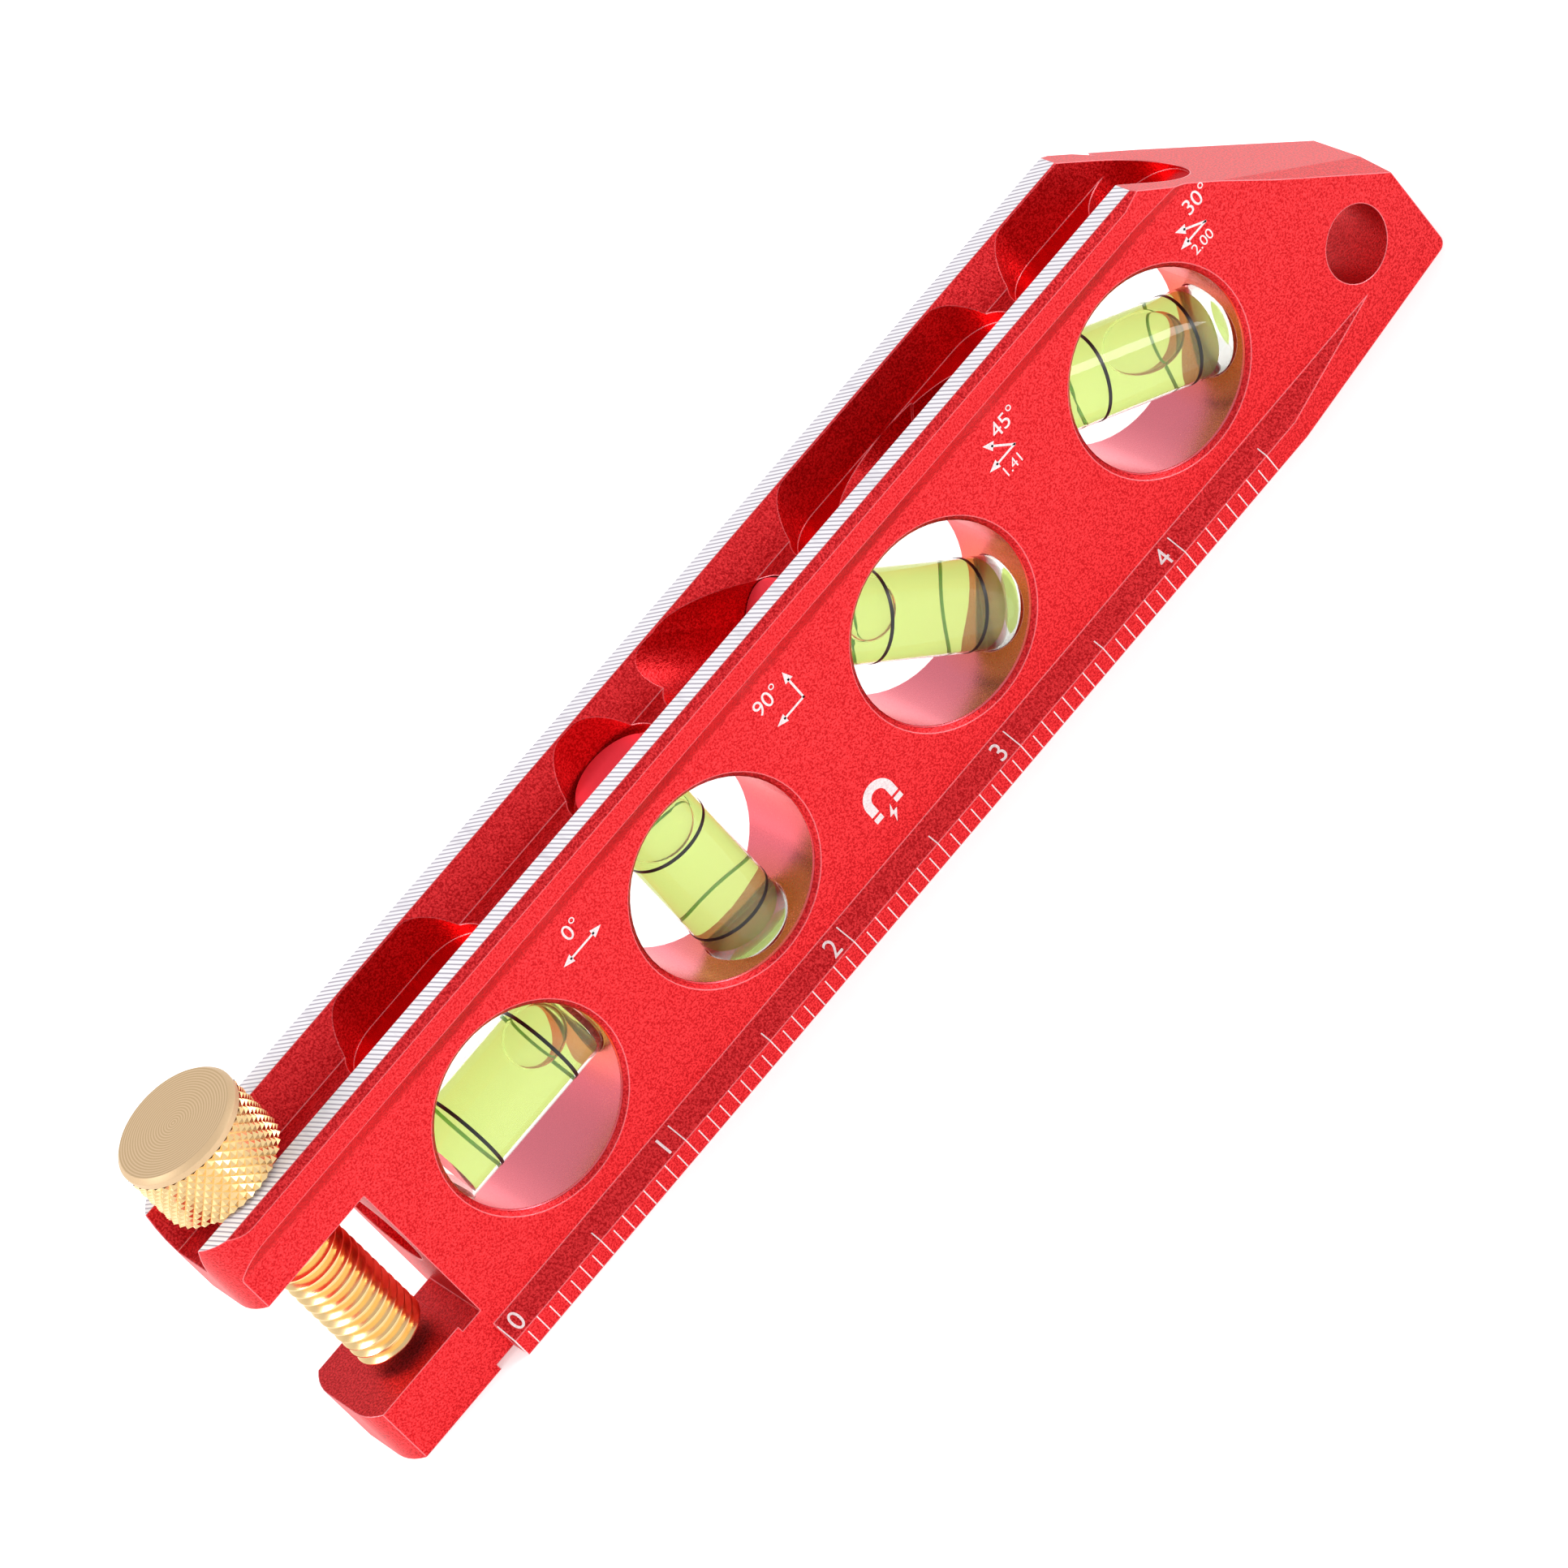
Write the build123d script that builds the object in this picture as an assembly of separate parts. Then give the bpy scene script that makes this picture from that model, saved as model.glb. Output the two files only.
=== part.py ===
from build123d import *
import math
import os

# Pocket torpedo level with a pipe clamp: one machined frame, four sealed vials and a thumbscrew.
# +X runs along the ruler from the clamp end to the nose, +Z from the ruler edge up to the grooved
# edge, and the ruled face looks towards -Y. The origin is at the bottom centre of the whole level.

os.makedirs("parts", exist_ok=True)

# ---- driving dimensions, millimetres -------------------------------------------------------------
length = 158.8              # clamp end to nose
height = 35.0               # ruler edge to the rails
flange_half = 8.25          # half width over the lips
web_half = 6.35             # half thickness of the web
lip_height = 2.3            # flat ruler lip
lip_bevel_top = 4.25        # where the lower bevel meets the web
band_low = 32.05            # lower edge of the upper lip
band_bevel_low = 29.7       # where the upper bevel meets the web
rail_edge = 0.9             # chamfer beside each rail
rail_edge_in = 0.65
crease_round = 1.2          # soft corner between the upper bevel and the web

groove_half_top = 5.25
groove_half_floor = 3.05
groove_floor = 31.0

x_clamp = -length / 2       # clamp end
x_nose = length / 2
x_zero = x_clamp + 15.0     # zero of the ruler, also the wall of the clamp gap
end_round = 5.5             # plan rounding of the clamp end
tip_round = 1.0

slope_sum = x_nose + 11.9   # on the sloping nose x + z has this value
taper_start = x_zero + 133.6
taper_angle = 7.3           # plan angle of the ruled cheek that thins the nose
back_pad_start = x_zero + 125.0     # the hollow in the back stops here
back_taper_start = x_zero + 129.0
back_tip_half = 6.9
cheek_start = x_zero + 129.9
cheek_normal = (0.727, -0.17, 0.665)

gap_low = 7.2               # top of the fixed jaw
gap_high = 25.5             # underside of the clamp arm
neck_relief = 0.75
neck_length = 2.6
neck_back = 3.4             # how far the neck reaches behind the middle plane

window_z = 17.35
window_wall = 10.3
window_chamfer = 0.6
window_x = [x_zero + d for d in (17.2, 45.95, 78.9, 111.95)]

lanyard_x = x_zero + 136.05
lanyard_z = 9.05
lanyard_r = 4.0

vial_z = 16.9
vial_r = 4.7
bore_r = 4.8
chamber_r = 3.9
vial_seat = 10.4            # lower end of a vial, measured from its window's centre
vial_top = 11.0             # upper end of a vial
chamber_low = {"0": 9.6, "90": 7.4, "45": 7.4, "30": 7.4}
chamber_top = 8.8
ring_offsets = (-5.2, 5.8)
ring_width = 0.38
ring_depth = 0.1
ring_proud = 0.03
vial_end_round = 1.3
bubble_film = 0.25

pocket_r = 5.15
pocket_floor = 29.6
pocket_deep_floor = 26.3
pocket_spans = [(8.3, 27.0), (40.8, 52.5), (74.2, 105.9), (107.3, 128.95)]
pocket_deep_span = (118.6, 128.95)
magnet_r = 4.6
magnet_thick = 1.6
cap_thick = 0.8

direction = {
    "0": (1.0, 0.0),
    "90": (0.0, -1.0),
    "45": (math.sin(math.radians(45)), -math.cos(math.radians(45))),
    "30": (math.cos(math.radians(30)), -math.sin(math.radians(30))),
}
vial_x = dict(zip(direction, window_x))

# Distances along a vial's axis run from the centre of its window towards the lower end.
bore_start = {"0": -30.0, "90": -22.0, "45": -40.0, "30": -42.0}
counterbore_stop = -22.0
seat_play = 0.05
cap_seat = {"0": -15.4, "90": vial_z - pocket_floor, "45": -15.0, "30": -13.2}
cap_radius = {"0": 4.75, "90": 5.05, "45": 5.05, "30": 4.75}
cap_offsets = {"0": (0.0,), "90": (-0.7,), "45": (0.4, 1.9), "30": (0.0,)}
# centre, half length and radius of each bubble
bubbles = {"0": (6.0, 3.4, 2.6), "90": (-6.0, 2.5, 3.3), "45": (-5.6, 3.0, 2.9), "30": (2.0, 4.6, 2.7)}

screw_x = x_zero - 6.8
screw_r = 4.0
screw_clear = 0.06
screw_tip = 7.9
knob_r = 6.85
knob_low = 35.3
knob_height = 7.7
knob_chamfer = 0.5
screw_tip_chamfer = 0.6
spigot_r = 3.0
spigot_length = 4.0


def write(node, solid):
    export_step(solid, os.path.join("parts", node + ".step"))


def along(direction, solid):
    """Turn a solid that was drawn along +Z so that it runs along a direction in the XZ plane."""
    dx, dz = direction
    return Rot(0, math.degrees(math.atan2(dx, dz)), 0) * solid


def rod(direction, radius, start, stop, x, z):
    """Cylinder on an inclined axis through (x, z), between two distances along that axis."""
    body = Cylinder(radius, stop - start, align=(Align.CENTER, Align.CENTER, Align.MIN))
    return Pos(x, 0, z) * along(direction, Pos(0, 0, start) * body)


def slot(span, floor):
    """Round-ended pocket, open at the top, between two distances from the ruler's zero."""
    start, stop = span
    shape = SlotCenterToCenter(stop - start - 2 * pocket_r, 2 * pocket_r)
    return Pos(x_zero + (start + stop) / 2, 0, floor) * extrude(shape, height - floor + 1)


# ---- frame ---------------------------------------------------------------------------------------
def section():
    right = [
        (0, 0), (flange_half, 0), (flange_half, lip_height), (web_half, lip_bevel_top),
        (web_half, band_bevel_low), (flange_half, band_low), (flange_half, height - rail_edge),
        (flange_half - rail_edge_in, height), (groove_half_top, height),
        (groove_half_floor, groove_floor), (0, groove_floor),
    ]
    half = make_face(Polyline(*right, close=True))
    soft = [v for v in half.vertices() if abs(v.X - web_half) < 0.01 and abs(v.Y - band_bevel_low) < 0.01]
    half = fillet(soft, crease_round)
    return half + mirror(half, Plane.YZ)


def plan_outline():
    """Prism that rounds the clamp end and thins the nose."""
    drop = math.tan(math.radians(taper_angle))
    half_tip = web_half - (x_nose - taper_start) * drop
    x_lip = taper_start - (flange_half - web_half) / drop
    outline = Polyline(
        (x_clamp, -flange_half), (x_lip, -flange_half), (x_nose, -half_tip),
        (x_nose, back_tip_half), (back_taper_start, flange_half), (x_clamp, flange_half), close=True)
    face = make_face(outline)
    face = fillet([v for v in face.vertices() if abs(v.X - x_clamp) < 0.01], end_round)
    return extrude(face, height)


def back_pad():
    """Fills the hollow of the back behind the nose."""
    return Pos(back_pad_start, 0, 0) * Box(
        x_nose - back_pad_start, flange_half, band_low, align=(Align.MIN, Align.MIN, Align.MIN))


def nose_cuts():
    """The sloping top of the nose and the narrow cheek on its ruled side."""
    block = Box(90, 60, 60, align=(Align.CENTER, Align.CENTER, Align.MIN))
    slope = Pos(slope_sum - height, 0, height) * Rot(0, 45, 0) * block
    cheek = Plane(origin=(cheek_start, 0.4 - web_half, slope_sum - cheek_start), z_dir=cheek_normal)
    return slope + cheek * block


def tip_corner():
    """Takes the sharp lower corner off the nose."""
    corner = Pos(x_nose, 0, 0) * Box(2 * tip_round, 40, 2 * tip_round)
    return corner - Pos(x_nose - tip_round, 0, tip_round) * Rot(90, 0, 0) * Cylinder(tip_round, 40)


def clamp_gap():
    """Opening between the arm and the fixed jaw, with the stepped neck of the jaw."""
    far = 20.0
    gap = Pos(x_clamp - 1, 0, gap_low) * Box(
        x_zero - x_clamp + 1, 2 * far, gap_high - gap_low, align=(Align.MIN, Align.CENTER, Align.MIN))
    neck_x = x_zero - neck_length
    slices = Pos(neck_x, 0, gap_low - neck_relief) * Box(
        neck_length, 2 * far, neck_relief + 1, align=(Align.MIN, Align.CENTER, Align.MIN))
    slices += Pos(neck_x, 0, 0) * Box(
        neck_length, 2 * far, neck_relief, align=(Align.MIN, Align.CENTER, Align.MIN))
    slices += Pos(neck_x, neck_back, 0) * Box(
        neck_length, far, gap_low, align=(Align.MIN, Align.MIN, Align.MIN))
    cheeks = Pos(x_clamp - 1, web_half, 0) * Box(
        x_zero - x_clamp + 1, far, gap_low, align=(Align.MIN, Align.MIN, Align.MIN))
    return gap + slices + cheeks + mirror(cheeks, Plane.XZ)


def windows():
    cuts = None
    for x in window_x:
        hole = Cylinder(window_wall, 40)
        for side in (-1, 1):
            mouth = Cone(window_wall, window_wall + 6, 6, align=(Align.CENTER, Align.CENTER, Align.MIN))
            mouth = Pos(0, 0, web_half - window_chamfer) * mouth
            hole += mouth if side > 0 else Rot(180, 0, 0) * mouth
        hole = Pos(x, 0, window_z) * Rot(90, 0, 0) * hole
        cuts = hole if cuts is None else cuts + hole
    return cuts


def vial_rod(name, radius, start, stop, offset=0.0):
    """Cylinder on a vial's axis; distances run from the window's centre, an offset moves it sideways."""
    line = direction[name]
    return rod(line, radius, start, stop, vial_x[name] + offset * line[1], vial_z - offset * line[0])


def vial_bores():
    cuts = None
    for name in direction:
        bore = vial_rod(name, bore_r, bore_start[name], vial_seat + seat_play)
        cuts = bore if cuts is None else cuts + bore
    return cuts


def cap_shape(name, radius, start, stop):
    """A bore cap; over the inclined bore it is a little longer than wide, like its pocket."""
    body = vial_rod(name, radius, start, stop, cap_offsets[name][0])
    for offset in cap_offsets[name][1:]:
        body += vial_rod(name, radius, start, stop, offset)
    return body


def groove_pockets():
    """The pockets milled into the groove; spans are measured from the ruler's zero."""
    cuts = slot(pocket_deep_span, pocket_deep_floor)
    for span in pocket_spans:
        cuts += slot(span, pocket_floor)
    cuts += cap_shape("45", pocket_r, bore_start["45"], cap_seat["45"])
    cuts += vial_rod("30", pocket_r, bore_start["30"], counterbore_stop)
    return cuts


def frame():
    body = Pos(x_clamp, 0, 0) * extrude(Plane.YZ * section(), length)
    body += back_pad()
    body = body & plan_outline()
    body -= nose_cuts()
    body -= tip_corner()
    body -= clamp_gap()
    body -= windows()
    body -= vial_bores()
    body -= groove_pockets()
    body -= Pos(lanyard_x, 0, lanyard_z) * Rot(90, 0, 0) * Cylinder(lanyard_r, 40)
    body -= Pos(screw_x, 0, gap_high - 1) * Cylinder(
        screw_r + screw_clear, 20, align=(Align.CENTER, Align.CENTER, Align.MIN))
    return body


# ---- vials ---------------------------------------------------------------------------------------
def vial_body(name):
    body = Cylinder(vial_r, vial_top + vial_seat, align=(Align.CENTER, Align.CENTER, Align.MIN))
    body = fillet(body.edges().sort_by(Axis.Z)[-1], vial_end_round)
    body = Pos(vial_x[name], 0, vial_z) * along(direction[name], Pos(0, 0, -vial_top) * body)
    body -= vial_rod(name, chamber_r, -vial_top, chamber_low[name])
    for offset in ring_offsets:
        body -= ring(name, offset, vial_r + 1)
    return body


def ring(name, offset, outer):
    start = offset - ring_width / 2
    stop = offset + ring_width / 2
    return vial_rod(name, outer, start, stop) - vial_rod(name, vial_r - ring_depth, start - 1, stop + 1)


def vial_rings(name):
    return Compound([ring(name, offset, vial_r + ring_proud) for offset in ring_offsets])


def vial_liquid(name):
    """The filled chamber, less the bubble that floats under its upper side."""
    centre, half_length, radius = bubbles[name]
    bubble = Pos(0, 0, centre) * scale(Sphere(radius), (1, 1, half_length / radius))
    lift = chamber_r - radius - bubble_film
    line = direction[name]
    lift *= line[0]
    bubble = Pos(vial_x[name] - lift * line[1], 0, vial_z + lift * line[0]) * along(line, bubble)
    return vial_rod(name, chamber_r, -chamber_top, chamber_low[name]) - bubble


# ---- thumbscrew ----------------------------------------------------------------------------------
def screw_stud():
    shank = Cylinder(screw_r, knob_low - screw_tip, align=(Align.CENTER, Align.CENTER, Align.MIN))
    shank = chamfer(shank.edges().sort_by(Axis.Z)[0], screw_tip_chamfer)
    spigot = Cylinder(spigot_r, spigot_length, align=(Align.CENTER, Align.CENTER, Align.MIN))
    return Pos(screw_x, 0, screw_tip) * (shank + Pos(0, 0, knob_low - screw_tip) * spigot)


def screw_knob():
    knob = Cylinder(knob_r, knob_height, align=(Align.CENTER, Align.CENTER, Align.MIN))
    rims = knob.edges().filter_by(GeomType.CIRCLE).sort_by(Axis.Z)
    knob = chamfer(rims[-1], knob_chamfer)
    knob = chamfer(knob.edges().filter_by(GeomType.CIRCLE).sort_by(Axis.Z)[0], knob_chamfer / 2)
    knob -= Cylinder(spigot_r + screw_clear, spigot_length + screw_clear,
                     align=(Align.CENTER, Align.CENTER, Align.MIN))
    return Pos(screw_x, 0, knob_low) * knob


nodes = {"level_frame": frame()}
for name in direction:
    nodes["vial_body_" + name] = vial_body(name)
    nodes["vial_liquid_" + name] = vial_liquid(name)
    nodes["vial_plug_" + name] = vial_rod(name, chamber_r, -vial_top, -chamber_top)
    nodes["vial_rings_" + name] = vial_rings(name)
    nodes["bore_cap_" + name] = cap_shape(
        name, cap_radius[name], cap_seat[name] - cap_thick, cap_seat[name])
for name in ("90", "45"):
    nodes["magnet_" + name] = vial_rod(name, magnet_r, cap_seat[name], cap_seat[name] + magnet_thick)
nodes["thumbscrew_stud"] = screw_stud()
nodes["thumbscrew_knob"] = screw_knob()

for node, solid in nodes.items():
    write(node, solid)
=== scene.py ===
import bpy
import math
from mathutils import Matrix, Vector


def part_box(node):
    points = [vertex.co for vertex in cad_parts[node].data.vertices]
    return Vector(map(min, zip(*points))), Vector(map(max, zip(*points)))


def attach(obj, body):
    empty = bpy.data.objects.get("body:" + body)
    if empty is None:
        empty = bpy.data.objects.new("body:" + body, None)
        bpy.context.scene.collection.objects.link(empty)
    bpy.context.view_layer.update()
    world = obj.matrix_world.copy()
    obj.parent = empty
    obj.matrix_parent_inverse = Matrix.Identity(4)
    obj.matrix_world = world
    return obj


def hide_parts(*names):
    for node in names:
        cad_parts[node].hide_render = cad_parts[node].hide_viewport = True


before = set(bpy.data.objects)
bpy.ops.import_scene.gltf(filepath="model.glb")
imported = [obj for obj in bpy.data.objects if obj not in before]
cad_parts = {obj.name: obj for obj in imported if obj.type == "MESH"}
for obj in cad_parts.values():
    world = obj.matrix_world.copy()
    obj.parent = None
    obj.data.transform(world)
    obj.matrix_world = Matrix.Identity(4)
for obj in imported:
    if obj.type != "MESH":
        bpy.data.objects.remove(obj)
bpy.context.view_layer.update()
mm = 0.001

# The clamp end is the lowest X of the frame, and the ruler starts 15 mm in from it.
frameLow = Vector(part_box("level_frame")[0])
clampEnd = frameLow.x / mm
rulerZero = clampEnd + 15.0
windowX = {"0": clampEnd + 32.2, "90": clampEnd + 60.95, "45": clampEnd + 93.9, "30": clampEnd + 126.95}
windowZ = 17.35
vialZ = 16.9
slopes = {"0": 0, "90": 90, "45": 45, "30": 30}


# Shader maths
class Sock:
    def __init__(self, tree, socket):
        self.tree = tree
        self.socket = socket

    def calc(self, operation, *others, clamp=False):
        node = self.tree.nodes.new("ShaderNodeMath")
        node.operation = operation
        node.use_clamp = clamp
        for place, value in enumerate((self,) + others):
            if isinstance(value, Sock):
                self.tree.links.new(value.socket, node.inputs[place])
            else:
                node.inputs[place].default_value = value
        return Sock(self.tree, node.outputs[0])

    def __add__(self, other):
        return self.calc("ADD", other)

    def __radd__(self, other):
        return self.calc("ADD", other)

    def __sub__(self, other):
        return self.calc("SUBTRACT", other)

    def __rsub__(self, other):
        return self.calc("MULTIPLY_ADD", -1.0, other)

    def __mul__(self, other):
        return self.calc("MULTIPLY", other)

    def __rmul__(self, other):
        return self.calc("MULTIPLY", other)

    def __pow__(self, other):
        return self.calc("POWER", other)

    def above(self, edge, soft=0.02):
        return self.calc("MULTIPLY_ADD", 1 / soft, 0.5 - edge / soft, clamp=True)

    def below(self, edge, soft=0.02):
        return self.calc("MULTIPLY_ADD", -1 / soft, 0.5 + edge / soft, clamp=True)

    def between(self, low, high, soft=0.02):
        return self.above(low, soft) * self.below(high, soft)


class Paint:
    def __init__(self, name, **fixed):
        self.material = bpy.data.materials.new(name)
        self.material.use_nodes = True
        self.tree = self.material.node_tree
        self.shader = self.tree.nodes["Principled BSDF"]
        self.feed(**fixed)

    def feed(self, **values):
        for name, value in values.items():
            socket = self.shader.inputs[name.replace("_", " ")]
            if isinstance(value, Sock):
                self.tree.links.new(value.socket, socket)
            else:
                socket.default_value = (*value, 1.0) if isinstance(value, tuple) else value

    def node(self, kind, settings=None, inputs=None, output=0):
        made = self.tree.nodes.new(kind)
        for name, value in (settings or {}).items():
            setattr(made, name, value)
        for name, value in (inputs or {}).items():
            if isinstance(value, Sock):
                self.tree.links.new(value.socket, made.inputs[name])
            else:
                made.inputs[name].default_value = value
        return Sock(self.tree, made.outputs[output])

    def position(self):
        place = self.node("ShaderNodeTexCoord", output="Object")
        split = self.node("ShaderNodeSeparateXYZ", inputs={0: place}).socket.node
        return [Sock(self.tree, out) * 1000.0 for out in split.outputs]

    def facingUp(self):
        normal = self.node("ShaderNodeTexCoord", output="Normal")
        return self.node("ShaderNodeSeparateXYZ", inputs={0: normal}, output="Z")

    def noise(self, scale, detail=2.0, rough=0.5, stretch=None):
        place = self.node("ShaderNodeTexCoord", output="Object")
        if stretch:
            place = self.node("ShaderNodeMapping", inputs={"Vector": place, "Scale": stretch})
        return self.node("ShaderNodeTexNoise",
                         inputs={"Vector": place, "Scale": scale, "Detail": detail, "Roughness": rough})

    def mix(self, factor, a, b):
        a, b = [(*c, 1.0) if isinstance(c, tuple) else c for c in (a, b)]
        return self.node("ShaderNodeMix", {"data_type": "RGBA"}, {0: factor, 6: a, 7: b}, 2)

    def bump(self, height, distance, strength=1.0, normal=None):
        inputs = {"Height": height, "Distance": distance, "Strength": strength}
        if normal:
            inputs["Normal"] = normal
        return self.node("ShaderNodeBump", inputs=inputs)


anodised = {
    "railAbove": 34.9, "pocketAbove": 20.0, "pocketBelow": 30.5, "wallRadius": 10.45, "wallHalf": 5.9,
    "vialFoot": 9.8, "lineStep": 0.56, "edgeRound": 0.19, "grain": 4600, "fineGrain": 7000,
}


def redAnodised():
    # Blasted red all over, smoother in the bores and pockets, and bare milled rails on top.
    p = Paint("red_anodised")
    x, y, z = p.position()
    nz = p.facingUp()
    grain = p.noise(anodised["grain"], 2.0, 0.6)
    fine = p.noise(anodised["fineGrain"], 1.0)
    broad = p.noise(60, 2.0)

    nearest = None
    for centre in windowX.values():
        gap = (x - centre).calc("ABSOLUTE")
        nearest = gap if nearest is None else nearest.calc("MINIMUM", gap)
    radial = (nearest * nearest + (z - windowZ) ** 2.0).calc("SQRT")
    side = y.calc("ABSOLUTE")
    wall = radial.below(anodised["wallRadius"], 0.04) * side.below(anodised["wallHalf"], 0.04)
    up = nz.above(0.9, 0.05)
    rail = up * z.above(anodised["railAbove"], 0.05)
    pocket = up * z.between(anodised["pocketAbove"], anodised["pocketBelow"], 0.1)
    smooth = (wall + pocket).calc("MINIMUM", 1.0)

    # Painted glow: the warm orange light that the liquid throws on the metal round each vial's foot is
    # painted into the colour.
    paintedGlow = None
    for name, slope in slopes.items():
        turn = math.radians(slope)
        endX = windowX[name] + anodised["vialFoot"] * math.cos(turn)
        endZ = vialZ - anodised["vialFoot"] * math.sin(turn)
        gap = ((x - endX) ** 2.0 + (z - endZ) ** 2.0 + y * y * 0.6).calc("SQRT").below(5.2, 6.0)
        paintedGlow = gap if paintedGlow is None else paintedGlow.calc("MAXIMUM", gap)

    # Cutter marks cross the rails in shallow arcs.
    arc = x + y * 0.466 + y * y * 0.0079
    lines = (arc * (2 * math.pi / anodised["lineStep"])).calc("SINE") * 0.5 + 0.5
    scratch = p.noise(900, 2.0, 0.5, (1.0, 0.15, 1.0))
    railTone = p.mix(lines.above(0.24, 0.40), (0.40, 0.36, 0.43), (0.93, 0.90, 0.94))
    railTone = p.mix(scratch.above(0.72, 0.3) * 0.5, railTone, (0.45, 0.40, 0.47))

    red = p.mix(grain.above(0.5, 0.22), (0.48, 0.010, 0.014), (0.92, 0.050, 0.057))
    red = p.mix(broad * 0.25, red, (0.66, 0.020, 0.026))
    red = p.mix(smooth * 0.75, red, (0.78, 0.018, 0.026))
    # Painted highlight: bore walls that face upward are painted pale pink.
    red = p.mix(wall * nz.above(0.60, 0.9) * 0.55, red, (1.0, 0.40, 0.50))
    # Painted glow: orange is mixed into the bore walls near each vial's foot.
    red = p.mix(wall * paintedGlow * 0.7, red, (0.95, 0.17, 0.012))

    # Painted highlight: edges are painted a paler pink, where the rounded normal leaves the flat one.
    rounded = p.node("ShaderNodeBevel", {"samples": 6}, {"Radius": anodised["edgeRound"] * mm})
    flat = p.node("ShaderNodeNewGeometry", output="Normal")
    away = p.node("ShaderNodeVectorMath", {"operation": "DOT_PRODUCT"}, {0: rounded, 1: flat}, 1)
    edge = away.below(0.97, 0.04) * (1 - rail)
    tone = p.mix(rail, red, railTone)
    # The painted edge highlight is mixed into the colour here.
    tone = p.mix(edge * 0.8, tone, (1.0, 0.34, 0.37))

    rough = 0.40 + (grain - 0.5) * 0.25
    rough = rough * (1 - smooth * 0.35) + rail * 0.10
    height = (grain * 0.7 + fine * 0.3) * (1 - smooth * 0.85) * (1 - rail) + lines * rail * 0.35
    p.feed(Base_Color=tone, Roughness=rough, Metallic=1 - rail,
           Normal=p.bump(height, 0.08 * mm, 0.8, rounded))
    return p.material


def smoothRed(name, tone):
    p = Paint(name, Metallic=0.45)
    speck = p.noise(2500, 2.0)
    p.feed(Base_Color=p.mix(speck, tone, tuple(c * 1.25 for c in tone)), Roughness=0.34 + speck * 0.12,
           Normal=p.bump(speck, 0.006 * mm, 0.4))
    return p.material


def etched():
    p = Paint("etched_mark", Metallic=0.15)
    grit = p.noise(5000, 2.0)
    p.feed(Base_Color=p.mix(grit.above(0.45, 0.5), (0.66, 0.52, 0.54), (0.88, 0.82, 0.82)),
           Roughness=0.5 + grit * 0.2, Normal=p.bump(grit, 0.01 * mm, 0.5))
    return p.material


def clear(name, tone, index, coat=0.0, through=1.0):
    p = Paint(name, Transmission_Weight=through, IOR=index, Coat_Weight=coat, Coat_Roughness=0.03)
    ripple = p.noise(300, 1.0)
    p.feed(Base_Color=p.mix(ripple, tone, tuple(c * 0.985 for c in tone)), Roughness=0.012 + ripple * 0.01,
           Normal=p.bump(ripple, 0.002 * mm, 0.3))
    return p.material


def bandPaint(name, tone):
    p = Paint(name)
    ink = p.noise(4000, 2.0)
    p.feed(Base_Color=p.mix(ink, tone, tuple(c * 1.4 for c in tone)), Roughness=0.3 + ink * 0.2)
    return p.material


def nickel():
    p = Paint("magnet_nickel", Metallic=1.0)
    worn = p.noise(1500, 3.0)
    p.feed(Base_Color=p.mix(worn, (0.62, 0.60, 0.57), (0.75, 0.73, 0.70)), Roughness=0.2 + worn * 0.15)
    return p.material


knobLow, knobHigh = [Vector(c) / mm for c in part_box("thumbscrew_knob")]
screwX = (knobLow.x + knobHigh.x) / 2


brassFinish = {"plainHeight": 1.2, "ringStep": 0.3}


def brass(name, turned):
    # turned is 1 for the knob, whose top end is matte with fine lathe rings.
    p = Paint(name)
    x, y, z = p.position()
    nz = p.facingUp()
    cloud = p.noise(500, 3.0)
    fine = p.noise(6000, 2.0)
    radius = ((x - screwX) ** 2.0 + y * y).calc("SQRT")
    top = nz.above(0.9, 0.05) * turned
    plain = z.above(knobHigh.z - brassFinish["plainHeight"], 0.1) * turned
    rings = (radius * (2 * math.pi / brassFinish["ringStep"])).calc("SINE") * 0.5 + 0.5
    bright = p.mix(cloud, (0.86, 0.58, 0.25), (0.94, 0.70, 0.37))
    matte = p.mix(rings * top * 0.7 + fine * 0.2 + (1 - top) * 0.3, (0.55, 0.37, 0.19), (0.80, 0.58, 0.36))
    p.feed(Base_Color=p.mix(plain, bright, matte), Metallic=1 - plain * 0.6,
           Roughness=0.20 + cloud * 0.06 + plain * 0.28,
           Normal=p.bump(rings * top * 0.6 + fine * 0.25, 0.02 * mm, 0.5))
    return p.material


paints = {
    "frame": redAnodised(),
    "cap": smoothRed("red_cap", (0.92, 0.055, 0.085)),
    "mark": etched(),
    "acrylic": clear("clear_acrylic", (0.985, 1.0, 0.95), 1.13, 0.3, 0.95),
    "fluid": clear("level_fluid", (0.68, 0.86, 0.25), 0.99, 0.0, 0.86),
    "bubble": clear("bubble_skin", (1.0, 1.0, 1.0), 0.92, 0.3),
    "band": bandPaint("black_band", (0.008, 0.009, 0.009)),
    # Painted glow: the black bands' far faces are painted green, standing in for the fluid's light seen on
    # them.
    "bandBackGlow": bandPaint("band_back_painted_glow", (0.25, 0.85, 0.50)),
    "magnet": nickel(),
    "knob": brass("brass_turned", 1.0),
    "thread": brass("brass_thread", 0.0),
}
print("materials", len(paints))


# Modelling helpers
def deselect():
    if bpy.context.mode != "OBJECT":
        bpy.ops.object.mode_set(mode="OBJECT")
    bpy.ops.object.select_all(action="DESELECT")


def finish(name, paint, body, stands=()):
    piece = bpy.context.object
    if piece.mode != "OBJECT":
        bpy.ops.object.mode_set(mode="OBJECT")
    bpy.ops.object.transform_apply(location=True, rotation=True, scale=True)
    piece.name = name
    piece.data.materials.clear()
    piece.data.materials.append(paint)
    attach(piece, body)
    if stands:
        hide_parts(*stands)
    return piece


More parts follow.
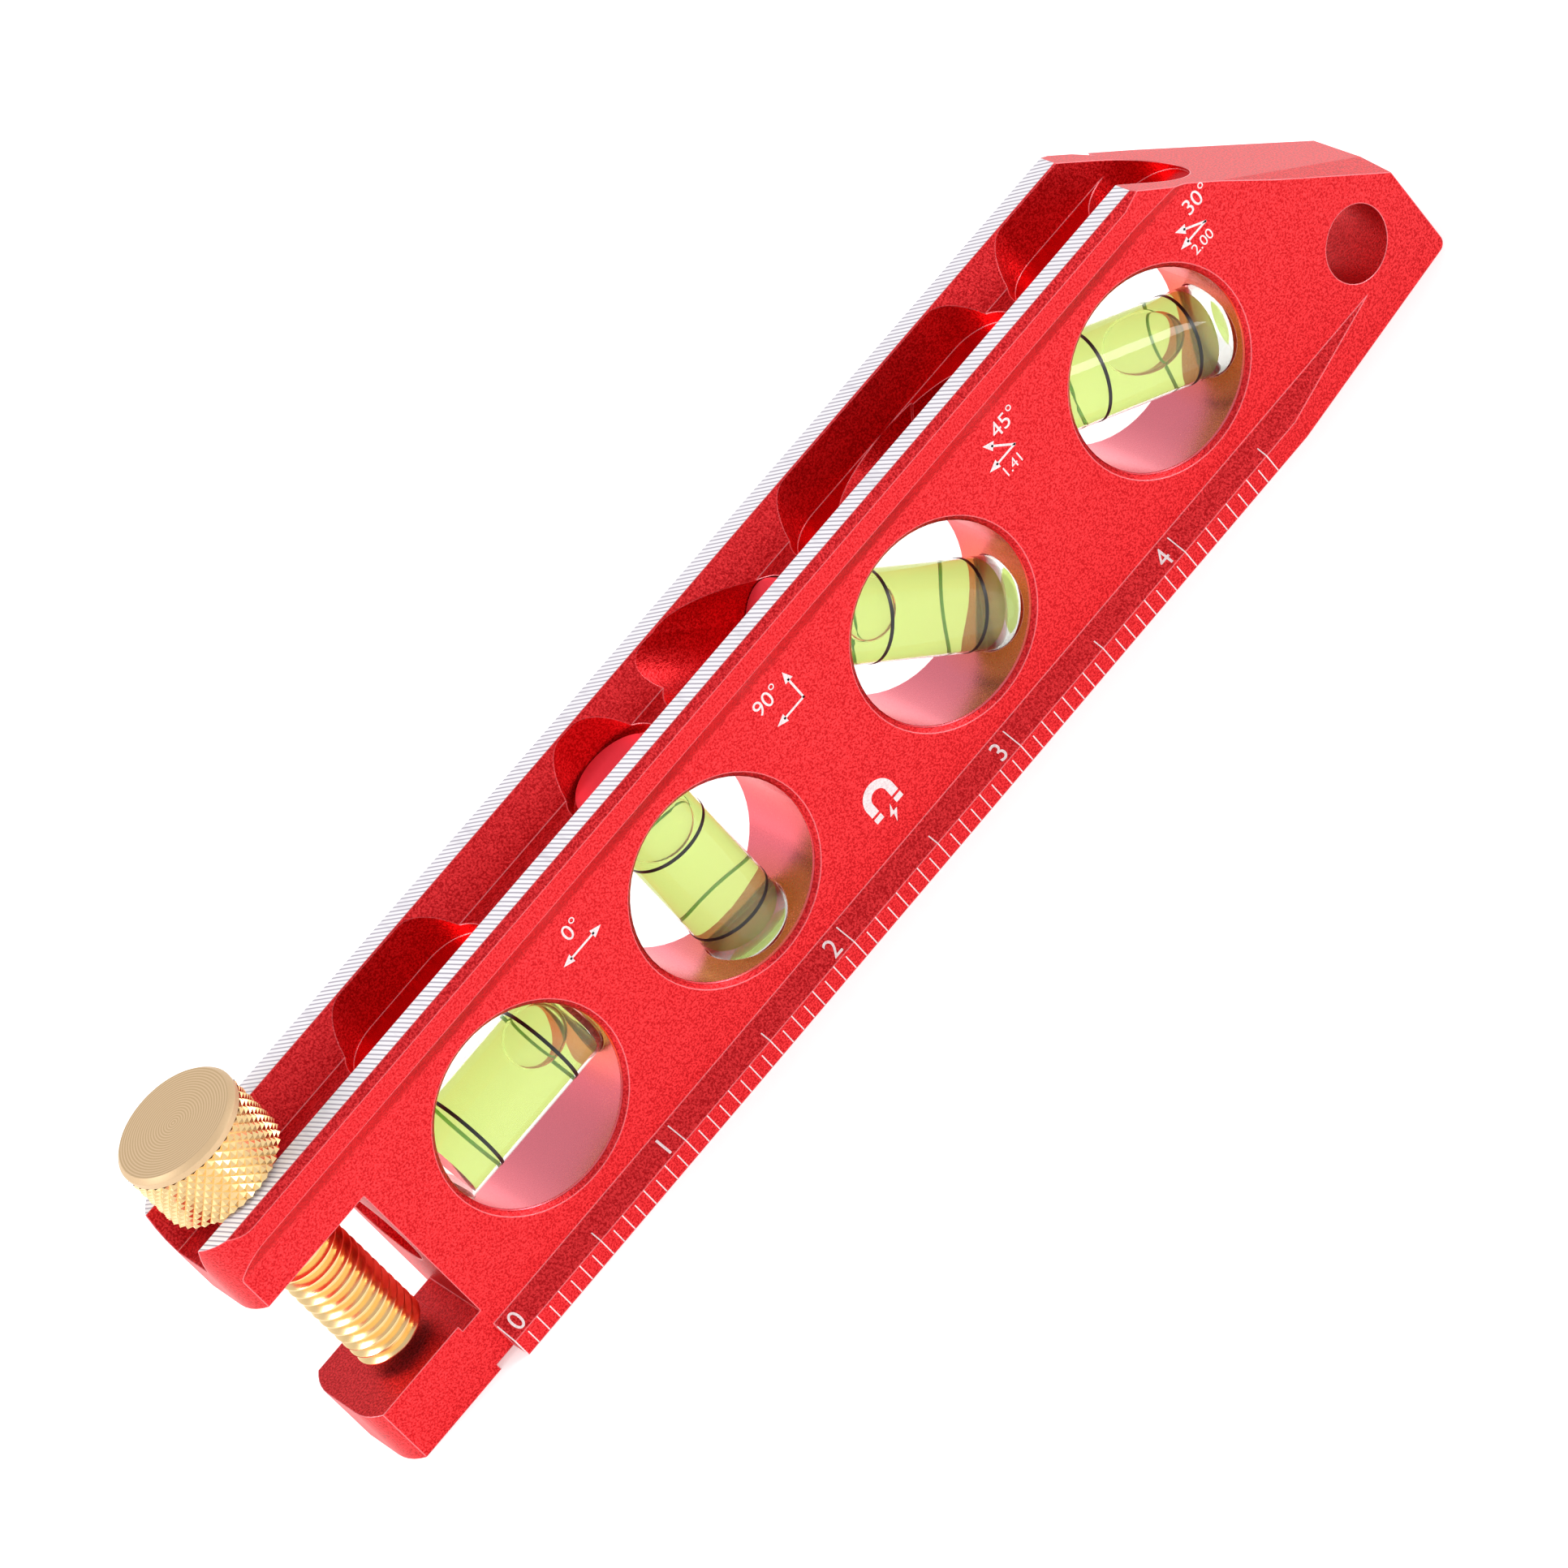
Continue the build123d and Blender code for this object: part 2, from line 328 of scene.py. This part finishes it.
def outline(points, close=False):
    # A chain of edges in the XZ plane, drawn point after point.
    deselect()
    bpy.ops.mesh.primitive_plane_add(size=mm)
    bpy.ops.object.mode_set(mode="EDIT")
    bpy.ops.mesh.select_mode(type="VERT")
    bpy.ops.mesh.select_all(action="SELECT")
    bpy.ops.mesh.merge(type="CENTER")
    bpy.ops.mesh.select_all(action="SELECT")
    here = Vector((points[0][0], 0, points[0][1])) * mm
    bpy.ops.transform.translate(value=here)
    for r, z in points[1:]:
        there = Vector((r, 0, z)) * mm
        bpy.ops.mesh.extrude_region_move(TRANSFORM_OT_translate={"value": there - here})
        here = there
    if close:
        bpy.ops.mesh.select_all(action="SELECT")
        bpy.ops.mesh.edge_face_add()
        bpy.ops.mesh.delete(type="ONLY_FACE")
    bpy.ops.mesh.select_all(action="SELECT")


def lathe(points, steps=64, close=False):
    outline(points, close)
    bpy.ops.mesh.spin(steps=steps, angle=2 * math.pi, center=(0, 0, 0), axis=(0, 0, 1))
    bpy.ops.mesh.select_all(action="SELECT")
    bpy.ops.mesh.remove_doubles(threshold=0.0005 * mm)
    bpy.ops.mesh.normals_make_consistent(inside=False)
    bpy.ops.object.mode_set(mode="OBJECT")
    bpy.ops.object.shade_smooth_by_angle(angle=math.radians(35))
    return bpy.context.object


def joined(pieces):
    deselect()
    for piece in pieces:
        piece.select_set(True)
    bpy.context.view_layer.objects.active = pieces[0]
    bpy.ops.object.join()
    return bpy.context.object


def alongVial(piece, name):
    piece.rotation_euler = (0, math.radians(90 + slopes[name]), 0)
    piece.location = (windowX[name] * mm, 0, vialZ * mm)


# Vials
vial = {
    "top": -11.0, "low": 10.35, "radius": 4.7, "endRound": 1.3,
    "fluidTop": -8.8, "fluidRadius": 3.9,
    "fluidLow": {"0": 9.5, "90": 8.6, "45": 8.6, "30": 8.6},
    "bandAt": (-5.2, 5.8), "bandWidth": 0.38,
    "bubbles": {"0": (6.0, 3.4, 2.7), "90": (-6.0, 2.5, 3.4), "45": (-5.6, 3.0, 3.0), "30": (2.0, 4.6, 2.8)},
}


def vialShell(name):
    r, low, bend = vial["radius"], vial["low"], vial["endRound"]
    corner = [(r - bend + bend * math.cos(a), low - bend + bend * math.sin(a))
              for a in [math.radians(d) for d in (0, 18, 36, 54, 72, 90)]]
    piece = lathe([(0, vial["top"]), (r, vial["top"])] + corner + [(0, low)])
    alongVial(piece, name)
    return finish("vial_shell_" + name, paints["acrylic"], "frame",
                  ["vial_body_" + name, "vial_plug_" + name])


def vialFluid(name):
    r, low = vial["fluidRadius"], vial["fluidLow"][name]
    piece = lathe([(0, vial["fluidTop"]), (r, vial["fluidTop"]), (r, low - 0.5), (r - 0.15, low - 0.15),
                   (r - 0.5, low), (0, low)])
    alongVial(piece, name)
    return finish("vial_fluid_" + name, paints["fluid"], "frame", ["vial_liquid_" + name])


def vialBubble(name):
    at, half, radius = vial["bubbles"][name]
    lift = (vial["fluidRadius"] - radius - 0.15) * (name != "90")
    deselect()
    bpy.ops.mesh.primitive_uv_sphere_add(segments=40, ring_count=24, radius=radius * mm)
    bpy.ops.object.mode_set(mode="EDIT")
    bpy.ops.mesh.select_all(action="SELECT")
    bpy.ops.transform.resize(value=(1, 1, half / radius))
    bpy.ops.transform.translate(value=(-lift * mm, 0, at * mm))
    bpy.ops.object.mode_set(mode="OBJECT")
    bpy.ops.object.shade_smooth()
    piece = bpy.context.object
    alongVial(piece, name)
    return finish("vial_bubble_" + name, paints["bubble"], "frame")


def vialBands(name):
    r = vial["radius"]
    rings = []
    for at in vial["bandAt"]:
        low, high = at - vial["bandWidth"] / 2, at + vial["bandWidth"] / 2
        section = [(r - 0.05, low), (r + 0.03, low), (r + 0.03, high), (r - 0.05, high)]
        rings.append(lathe(section, close=True))
    piece = joined(rings)
    alongVial(piece, name)
    piece = finish("vial_bands_" + name, paints["band"], "frame", ["vial_rings_" + name])
    # Inward-facing band faces get the green paint, a painted glow of the fluid's light.
    piece.data.materials.append(paints["bandBackGlow"])
    turn = math.radians(slopes[name])
    axis = Vector((math.cos(turn), 0, -math.sin(turn)))
    middle = Vector((windowX[name], 0, vialZ)) * mm
    for face in piece.data.polygons:
        out = face.center - middle
        out -= axis * out.dot(axis)
        if face.normal.dot(out.normalized()) < -0.5:
            face.material_index = 1
    return piece


for name in slopes:
    vialShell(name)
    vialFluid(name)
    vialBubble(name)
    vialBands(name)
print("vials", len(slopes))


# Thumbscrew
knob = {
    "low": knobLow.z + 0.03, "high": knobHigh.z, "radius": (knobHigh.x - knobLow.x) / 2,
    "neckHeight": 1.25, "chamfer": 0.5, "depth": 0.3, "around": 38, "rows": 10,
}
stud = {"pitch": 1.25, "root": 3.28, "crest": 3.99, "tip": 7.9}


def knobCore():
    low, high, r = knob["low"], knob["high"], knob["radius"]
    neck = high - knob["neckHeight"]
    inner = r - knob["depth"] - 0.03
    piece = lathe([(0, low), (inner - 0.35, low), (inner, low + 0.35), (inner, neck - 0.1),
                   (r - 0.08, neck + 0.1), (r - 0.05, high - knob["chamfer"]), (r - 0.15, high - 0.35),
                   (r - knob["chamfer"], high), (0, high)], 96)
    piece.location = (screwX * mm, 0, 0)
    return finish("knob_core", paints["knob"], "screw_turn", ["thumbscrew_knob"])


def knobKnurl():
    # Alternate corners of a fine grid stand out, which leaves crossing diagonal grooves.
    low, high, r = knob["low"] + 0.12, knob["high"] - knob["neckHeight"], knob["radius"]
    root = r - knob["depth"]
    columns, step = 2 * knob["around"], (high - low) / knob["rows"]
    deselect()
    bpy.ops.mesh.primitive_cylinder_add(vertices=columns, radius=root * mm, depth=(high - low) * mm,
                                        end_fill_type="NOTHING", location=(0, 0, 0))
    piece = bpy.context.object
    mesh = piece.data
    bpy.ops.object.mode_set(mode="EDIT")
    bpy.ops.mesh.select_mode(type="EDGE")
    bpy.ops.mesh.select_all(action="DESELECT")
    bpy.ops.object.mode_set(mode="OBJECT")
    for e in mesh.edges:
        a, b = [mesh.vertices[v].co for v in e.vertices]
        e.select = abs(a.z - b.z) > 1e-5
    bpy.ops.object.mode_set(mode="EDIT")
    bpy.ops.mesh.subdivide(number_cuts=knob["rows"] - 1)
    bpy.ops.mesh.select_mode(type="VERT")
    bpy.ops.mesh.select_all(action="DESELECT")
    bpy.ops.object.mode_set(mode="OBJECT")
    for v in mesh.vertices:
        column = round(math.atan2(v.co.y, v.co.x) * columns / (2 * math.pi))
        row = round((v.co.z / mm + (high - low) / 2) / step)
        v.select = (column + row) % 2 == 0
    bpy.ops.object.mode_set(mode="EDIT")
    bpy.ops.transform.resize(value=(r / root, r / root, 1), center_override=(0, 0, 0))
    bpy.ops.mesh.select_all(action="SELECT")
    bpy.ops.mesh.quads_convert_to_tris(quad_method="SHORTEST_DIAGONAL")
    bpy.ops.mesh.normals_make_consistent(inside=False)
    piece.location = (screwX * mm, 0, (low + high) / 2 * mm)
    return finish("knob_knurl", paints["thread"], "screw_turn")


def screwThread():
    root, crest, pitch, tip = stud["root"], stud["crest"], stud["pitch"], stud["tip"]
    turns = math.ceil((knob["low"] + 0.5 - tip) / pitch) + 2
    outline([(root, 0), (root, 0.1), (crest - 0.08, 0.46), (crest, 0.54), (crest, 0.66), (crest - 0.08, 0.74),
             (root, 1.1), (root, pitch)])
    bpy.ops.object.mode_set(mode="OBJECT")
    piece = bpy.context.object
    bpy.ops.object.modifier_add(type="SCREW")
    sweep = piece.modifiers[-1]
    sweep.screw_offset = pitch * mm
    sweep.iterations = turns
    sweep.steps = 48
    sweep.render_steps = 48
    bpy.ops.object.modifier_apply(modifier=sweep.name)
    bpy.ops.object.mode_set(mode="EDIT")
    bpy.ops.mesh.select_all(action="SELECT")
    bpy.ops.mesh.remove_doubles(threshold=0.001 * mm)
    bpy.ops.transform.translate(value=(0, 0, (tip - 1.5 * pitch) * mm))
    for height, side in ((tip + 0.6, False), (knob["low"] + 0.3, True)):
        bpy.ops.mesh.select_all(action="SELECT")
        bpy.ops.mesh.bisect(plane_co=(0, 0, height * mm), plane_no=(0, 0, 1), use_fill=True,
                            clear_inner=not side, clear_outer=side)
    bpy.ops.mesh.select_mode(type="FACE")
    bpy.ops.mesh.select_all(action="DESELECT")
    bpy.ops.object.mode_set(mode="OBJECT")
    for face in piece.data.polygons:
        face.select = face.normal.z ** 2 > 0.98 and face.center.z < (tip + 0.65) * mm
    bpy.ops.object.mode_set(mode="EDIT")
    bpy.ops.mesh.extrude_region_move(TRANSFORM_OT_translate={"value": (0, 0, -0.6 * mm)})
    bpy.ops.transform.resize(value=(0.86, 0.86, 1))
    bpy.ops.mesh.select_all(action="SELECT")
    bpy.ops.mesh.normals_make_consistent(inside=False)
    bpy.ops.object.mode_set(mode="OBJECT")
    bpy.ops.object.shade_smooth_by_angle(angle=math.radians(28))
    piece.location = (screwX * mm, 0, 0)
    return finish("stud_thread", paints["thread"], "screw_turn", ["thumbscrew_stud"])


knobCore()
knobKnurl()
screwThread()
print("thumbscrew")


# Engraved marks
ruler = {
    "face": frameLow.y / mm, "web": -6.35, "lip": 2.3, "bevelTop": 4.25, "inches": 4.5,
    "width": 0.13, "lift": 0.004, "sixteenth": 0.84, "halfInch": 0.43, "inch": 0.83, "digit": 2.0,
}
bevelTurn = math.atan2(ruler["bevelTop"] - ruler["lip"], ruler["web"] - ruler["face"])
bevelLength = math.hypot(ruler["bevelTop"] - ruler["lip"], ruler["web"] - ruler["face"])


def onBevel(share, lift):
    # A point on the sloping face above the lip, a share of the way up it.
    y = ruler["face"] + (ruler["web"] - ruler["face"]) * share - lift * math.sin(bevelTurn)
    z = ruler["lip"] + (ruler["bevelTop"] - ruler["lip"]) * share + lift * math.cos(bevelTurn)
    return y, z


def tickRow(first, step, count, height, bevel=False):
    deselect()
    width = ruler["width"]
    if bevel:
        y, z = onBevel(height / 2, 0.01)
        tall, turn = height * bevelLength, bevelTurn
    else:
        y, z = ruler["face"] - ruler["lift"], height / 2 + 0.03
        tall, turn = height - 0.06, math.pi / 2
    bpy.ops.mesh.primitive_plane_add(size=1, location=((rulerZero + first) * mm, y * mm, z * mm),
                                     rotation=(turn, 0, 0))
    piece = bpy.context.object
    piece.scale = (width * mm, tall * mm, 1)
    bpy.ops.object.transform_apply(location=True, rotation=True, scale=True)
    bpy.ops.object.modifier_add(type="ARRAY")
    row = piece.modifiers[-1]
    row.count = count
    row.use_relative_offset = False
    row.use_constant_offset = True
    row.constant_offset_displace = (step * mm, 0, 0)
    bpy.ops.object.modifier_apply(modifier=row.name)
    return piece


inch = 25.4
eighths = int(ruler["inches"] * 8)
joined([
    tickRow(inch / 16, inch / 8, eighths, ruler["sixteenth"] * ruler["lip"]),
    tickRow(0, inch / 8, eighths + 1, ruler["lip"]),
    tickRow(inch / 2, inch, 5, ruler["halfInch"], True),
    tickRow(0, inch, 5, ruler["inch"], True),
])
finish("ruler_ticks", paints["mark"], "frame")


def lettering(name, text, height, x, y, z, turn=math.pi / 2):
    deselect()
    bpy.ops.object.text_add(location=(x * mm, y * mm, z * mm), rotation=(turn, 0, 0))
    words = bpy.context.object
    words.data.body = text
    words.data.size = height / 0.72 * mm
    words.data.align_x = "CENTER"
    words.data.align_y = "CENTER"
    bpy.ops.object.convert(target="MESH")
    return finish(name, paints["mark"], "frame")


for number in range(5):
    y, z = onBevel(0.42, 0.01)
    x = rulerZero + number * inch - (1.85 if number else -1.6)
    lettering(f"ruler_digit_{number}", str(number), ruler["digit"], x, y, z, bevelTurn)

markY = ruler["web"] - 0.008
arrowShape = {"headLength": 1.25, "headHalf": 0.52, "barHalf": 0.12}


def arrow(tail, tip, doubled=False):
    length = math.hypot(tip[0] - tail[0], tip[1] - tail[1])
    headLength, headHalf, barHalf = arrowShape.values()
    deselect()
    bpy.ops.mesh.primitive_plane_add(size=1)
    bar = bpy.context.object
    start = headLength * 0.8 if doubled else -barHalf
    bar.scale = ((length - headLength * 0.8 - start) * mm, 2 * barHalf * mm, 1)
    bar.location = ((length - headLength * 0.8 + start) / 2 * mm, 0, 0)
    bpy.ops.object.transform_apply(location=True, rotation=True, scale=True)
    parts = [bar]
    for end, way in ((length, 1),) + (((0, -1),) if doubled else ()):
        deselect()
        bpy.ops.mesh.primitive_circle_add(vertices=3, radius=1, fill_type="NGON",
                                          rotation=(0, 0, -math.pi / 2))
        head = bpy.context.object
        bpy.ops.object.transform_apply(location=True, rotation=True, scale=True)
        head.scale = (way * headLength / 1.5 * mm, headHalf / 0.866 * mm, 1)
        head.location = ((end - way * headLength * 2 / 3) * mm, 0, 0)
        bpy.ops.object.transform_apply(location=True, rotation=True, scale=True)
        parts.append(head)
    piece = joined(parts)
    bpy.ops.object.mode_set(mode="EDIT")
    bpy.ops.mesh.select_all(action="SELECT")
    bpy.ops.mesh.normals_make_consistent(inside=False)
    bpy.ops.object.mode_set(mode="OBJECT")
    piece.rotation_euler = (0, 0, math.atan2(tip[1] - tail[1], tip[0] - tail[0]))
    bpy.ops.object.transform_apply(location=True, rotation=True, scale=True)
    piece.rotation_euler = (math.pi / 2, 0, 0)
    piece.location = (tail[0] * mm, markY * mm, tail[1] * mm)
    bpy.ops.object.transform_apply(location=True, rotation=True, scale=True)
    return piece


angleMarks = {
    "0": {"text": "0°", "at": (-32.5, 27.35), "arrows": [((-35.55, 25.17), (-30.1, 25.17))]},
    "90": {"text": "90°", "at": (-3.55, 27.4),
           "arrows": [((-0.62, 24.47), (-0.6, 28.25)), ((-0.62, 24.47), (-4.5, 24.48))]},
    "45": {"text": "45°", "at": (32.2, 27.6), "ratio": ("1.41", (30.15, 23.5)),
           "arrows": [((31.58, 24.97), (28.95, 27.6)), ((31.58, 24.97), (27.85, 24.97))]},
    "30": {"text": "30°", "at": (61.4, 27.5), "ratio": ("2.00", (59.25, 23.6)),
           "arrows": [((60.75, 24.97), (57.6, 26.8)), ((60.75, 24.97), (57.0, 24.97))]},
}
markHeight = {"angle": 1.75, "ratio": 1.2}
for name, mark in angleMarks.items():
    x, z = mark["at"]
    lettering("angle_text_" + name, mark["text"], markHeight["angle"], x, markY, z)
    if "ratio" in mark:
        text, (x, z) = mark["ratio"]
        lettering("ratio_text_" + name, text, markHeight["ratio"], x, markY, z)
    joined([arrow(tail, tip, name == "0") for tail, tip in mark["arrows"]])
    finish("angle_arrows_" + name, paints["mark"], "frame")


def plate(points, x, z):
    # A flat shape on the front face, its corners listed anticlockwise.
    outline(points, True)
    bpy.ops.mesh.fill()
    bpy.ops.object.mode_set(mode="OBJECT")
    piece = bpy.context.object
    piece.location = (x * mm, markY * mm, z * mm)
    bpy.ops.object.transform_apply(location=True, rotation=True, scale=True)
    return piece


sign = {"x": -1.7, "z": 9.85, "outer": 1.95, "inner": 0.95, "leg": 1.0, "gap": 0.3, "tip": 0.65,
        "boltX": -1.65, "boltZ": 7.4}


def magnetSign():
    outer, inner, leg = sign["outer"], sign["inner"], sign["leg"]
    tipTop = -leg - sign["gap"]
    tipLow = tipTop - sign["tip"]
    arch = [math.radians(a) for a in range(0, 181, 10)]
    bend = [(-outer, -leg), (-inner, -leg)]
    bend += [(inner * math.cos(a), inner * math.sin(a)) for a in reversed(arch)]
    bend += [(inner, -leg), (outer, -leg)]
    bend += [(outer * math.cos(a), outer * math.sin(a)) for a in arch]
    tip = [(inner, tipLow), (outer, tipLow), (outer, tipTop), (inner, tipTop)]
    bolt = [(-0.30, -1.05), (0.60, 0.15), (0.08, 0.15), (0.30, 1.05), (-0.55, -0.10), (-0.05, -0.10)]
    joined([plate(bend, sign["x"], sign["z"]), plate(tip, sign["x"], sign["z"]),
            plate(tip, sign["x"] - outer - inner, sign["z"]), plate(bolt, sign["boltX"], sign["boltZ"])])
    return finish("magnet_sign", paints["mark"], "frame")


magnetSign()
print("marks")


# CAD nodes that stay as they are
kept = {"level_frame": "frame"}
for name in slopes:
    kept["bore_cap_" + name] = "cap"
for name in ("90", "45"):
    kept["magnet_" + name] = "magnet"
for node, paint in kept.items():
    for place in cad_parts[node].material_slots:
        place.material = paints[paint]
print("kept nodes", len(kept))


# Studio
def floorPaint():
    p = Paint("studio_floor", Roughness=0.9, Emission_Color=(1.0, 1.0, 1.0), Emission_Strength=0.45)
    tint = p.noise(3, 1.0)
    p.feed(Base_Color=p.mix(tint, (0.93, 0.93, 0.93), (0.95, 0.95, 0.95)))
    return p.material


deselect()
bpy.ops.mesh.primitive_plane_add(size=12, location=(0, 0, 0))
floor = bpy.context.object
floor.name = "studio_floor"
floor.data.materials.append(floorPaint())

world = bpy.data.worlds.new("studio_world")
bpy.context.scene.world = world
world.use_nodes = True
sky = world.node_tree
glow = sky.nodes["Background"]
direction = sky.nodes.new("ShaderNodeTexCoord")
skyHeight = sky.nodes.new("ShaderNodeSeparateXYZ")
fade = sky.nodes.new("ShaderNodeMapRange")
fade.interpolation_type = "SMOOTHSTEP"
for name, value in {"From Min": 0.10, "From Max": 0.60, "To Min": 1.0, "To Max": 0.70}.items():
    fade.inputs[name].default_value = value
sky.links.new(direction.outputs["Generated"], skyHeight.inputs[0])
sky.links.new(skyHeight.outputs["Z"], fade.inputs["Value"])
sky.links.new(fade.outputs["Result"], glow.inputs["Strength"])
glow.inputs["Color"].default_value = (1, 1, 1, 1)


def softLight(name, place, size, power):
    deselect()
    bpy.ops.object.light_add(type="AREA", location=place)
    light = bpy.context.object
    light.name = name
    light.data.shape = "DISK"
    light.data.size = size
    light.data.energy = power
    light.rotation_euler = (Vector((0, 0, 0.02)) - Vector(place)).to_track_quat("-Z", "Y").to_euler()


studioLights = {"key_light": ((-0.95, 0.15, 0.80), 0.5, 7), "side_light": ((1.0, -0.7, 0.35), 0.4, 5)}
for name, (place, size, power) in studioLights.items():
    softLight(name, place, size, power)

bpy.ops.object.camera_add()
camera = bpy.context.object
camera.name = "photo_camera"
camera.data.sensor_width = 36
camera.data.lens = 169.42
camera.data.clip_start = 0.01
camera.data.clip_end = 50
right = Vector((0.640, -0.5347, -0.5518))
upward = Vector((0.7488, 0.2727, 0.6041))
back = right.cross(upward).normalized()
upward = back.cross(right).normalized()
place = Matrix((right.normalized(), upward, back)).transposed().to_4x4()
place.translation = (-0.1298, -0.57195, 0.4261)
camera.matrix_world = place
bpy.context.scene.camera = camera
bpy.context.scene.view_settings.view_transform = "Standard"
print("studio")
